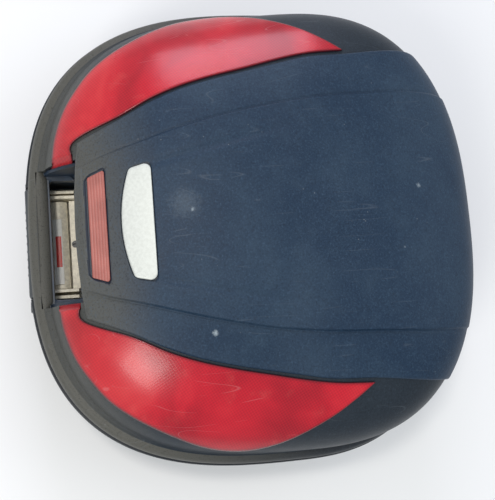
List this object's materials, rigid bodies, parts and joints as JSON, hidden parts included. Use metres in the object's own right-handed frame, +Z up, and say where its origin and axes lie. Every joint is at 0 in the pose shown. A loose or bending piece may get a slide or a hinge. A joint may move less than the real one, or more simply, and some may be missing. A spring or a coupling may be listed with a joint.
{
  "type": "hard motorcycle case",
  "caption": "Hard-shell luggage case with a domed hinged lid, stepped cover, wrap-round red reflectors, keyed lock lever in a hand recess and a swing-out carry handle.",
  "frame": {"origin": "centre of the footprint, on the ground under the mounting plate", "axes": "+Z up, -Y towards the lock and carry handle, +Y towards the lid hinges, +X across, X = 0 is the symmetry plane"},
  "size_m": [0.48, 0.4538, 0.2079],
  "materials": {
    "shell_black": "fine grained",
    "cover_black": "fine grained, faded",
    "frame_black": "satin",
    "lens_red": "glossy, prismed inside",
    "reflector_red": "dull, ribbed",
    "badge_silver": "satin",
    "lever_silver": "satin",
    "label_pale": "satin",
    "mark_red": "glossy",
    "steel": "brushed",
    "rubber_black": "matte",
    "handle_black": "satin",
    "strap_black": "woven",
    "buckle_black": "satin",
    "button_red": "satin"
  },
  "bodies": {
    "base": {"base_shell": "shell_black", "lock_pocket": "frame_black", "rim_seal": "rubber_black", "lock_housing": "lever_silver", "lever_pin": "steel", "hook_bracket": "steel", "hook_pin": "steel", "mount_plate": "frame_black", "luggage_strap": "strap_black", "strap_buckle": "buckle_black", "hinge_base_leaf_left": "steel", "hinge_pin_left": "steel", "handle_pin_left": "steel", "handle_lug_left": "frame_black", "strap_anchor_left": "buckle_black", "foot_rear_left": "rubber_black", "foot_front_left": "rubber_black", "hinge_base_leaf_right": "steel", "hinge_pin_right": "steel", "handle_pin_right": "steel", "handle_lug_right": "frame_black", "strap_anchor_right": "buckle_black", "foot_rear_right": "rubber_black", "foot_front_right": "rubber_black"},
    "lid": {"lid_shell": "shell_black", "recess_frame": "frame_black", "cover_panel": "cover_black", "centre_reflector": "reflector_red", "badge_plate": "badge_silver", "lid_striker": "steel", "side_lens_left": "lens_red", "hinge_lid_leaf_left": "steel", "side_lens_right": "lens_red", "hinge_lid_leaf_right": "steel"},
    "lever": {"lock_lever": "lever_silver", "lever_label": "label_pale", "lever_mark": "mark_red"},
    "key": {"key_barrel": "steel"},
    "hook": {"latch_hook": "steel"},
    "handle": {"carry_handle": "handle_black"},
    "button": {"release_button": "button_red"},
    "catch": {"release_catch": "steel"}
  },
  "joints": [
    {"name": "lid_hinge", "type": "hinge", "parent": "base", "child": "lid", "pos_m": [0, 0.221, 0.1], "axis": [-1, 0, 0], "range_deg": [0, 78]},
    {"name": "lever_lift", "type": "hinge", "parent": "base", "child": "lever", "pos_m": [0, -0.191, 0.068], "axis": [-1, 0, 0], "range_deg": [0, 50]},
    {"name": "key_turn", "type": "hinge", "parent": "base", "child": "key", "pos_m": [0, -0.1792, 0.07], "axis": [0, 0, 1], "range_deg": [0, 90]},
    {"name": "hook_swing", "type": "hinge", "parent": "base", "child": "hook", "pos_m": [0, -0.163, 0.084], "axis": [1, 0, 0], "range_deg": [0, 7]},
    {"name": "handle_swing", "type": "hinge", "parent": "base", "child": "handle", "pos_m": [0, -0.2225, 0.06], "axis": [1, 0, 0], "range_deg": [0, 90]},
    {"name": "button_push", "type": "slide", "parent": "base", "child": "button", "axis": [0, 1, 0], "range_m": [0, 0.006], "stiffness_N_per_m": 200},
    {"name": "catch_slide", "type": "slide", "parent": "base", "child": "catch", "axis": [0, 1, 0], "range_m": [0, 0.006]}
  ],
  "couplings": [
    {"joint": "hook_swing", "follows": "key_turn", "ratio": 0.0777},
    {"joint": "catch_slide", "follows": "button_push", "ratio": 1}
  ]
}
